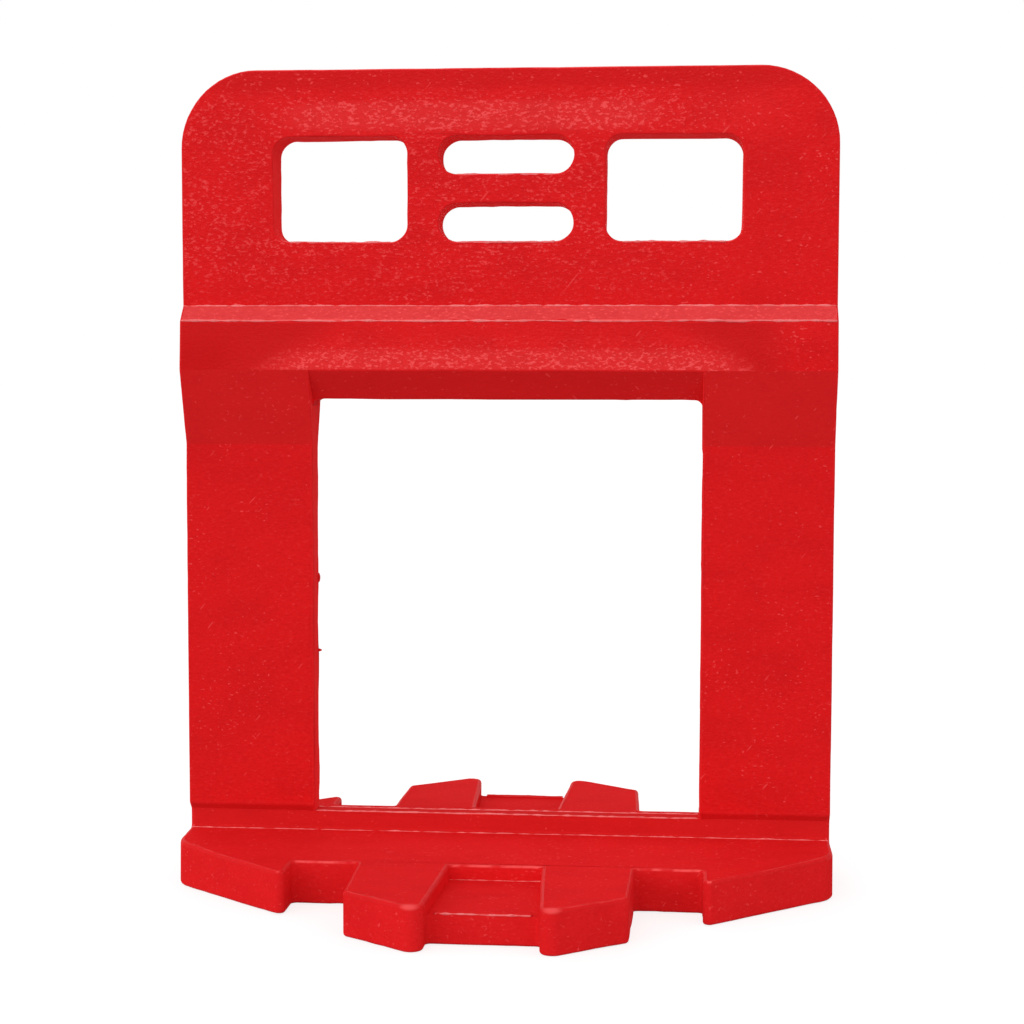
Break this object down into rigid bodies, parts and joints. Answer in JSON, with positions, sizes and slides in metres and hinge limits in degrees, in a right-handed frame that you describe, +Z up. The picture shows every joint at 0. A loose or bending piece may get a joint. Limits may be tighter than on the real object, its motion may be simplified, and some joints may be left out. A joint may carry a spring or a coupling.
{
  "type": "tile levelling clip",
  "caption": "Moulded plastic clip for levelling floor tiles: a break-off plate with a wedge window and grip holes on a flat base with wings and prongs that lies under the tiles.",
  "frame": {"origin": "middle of the underside of the base, in the plane that the clip stands on", "axes": "+Z up along the plate, +X along the width of the plate, +Y through the plate from front to back"},
  "size_m": [0.034, 0.0284, 0.0424],
  "materials": {
    "red_plastic": "satin moulded polypropylene with a fine spark-eroded grain on the plate and a smoother base"
  },
  "bodies": {
    "root": {"clip": "red_plastic"}
  },
  "joints": []
}
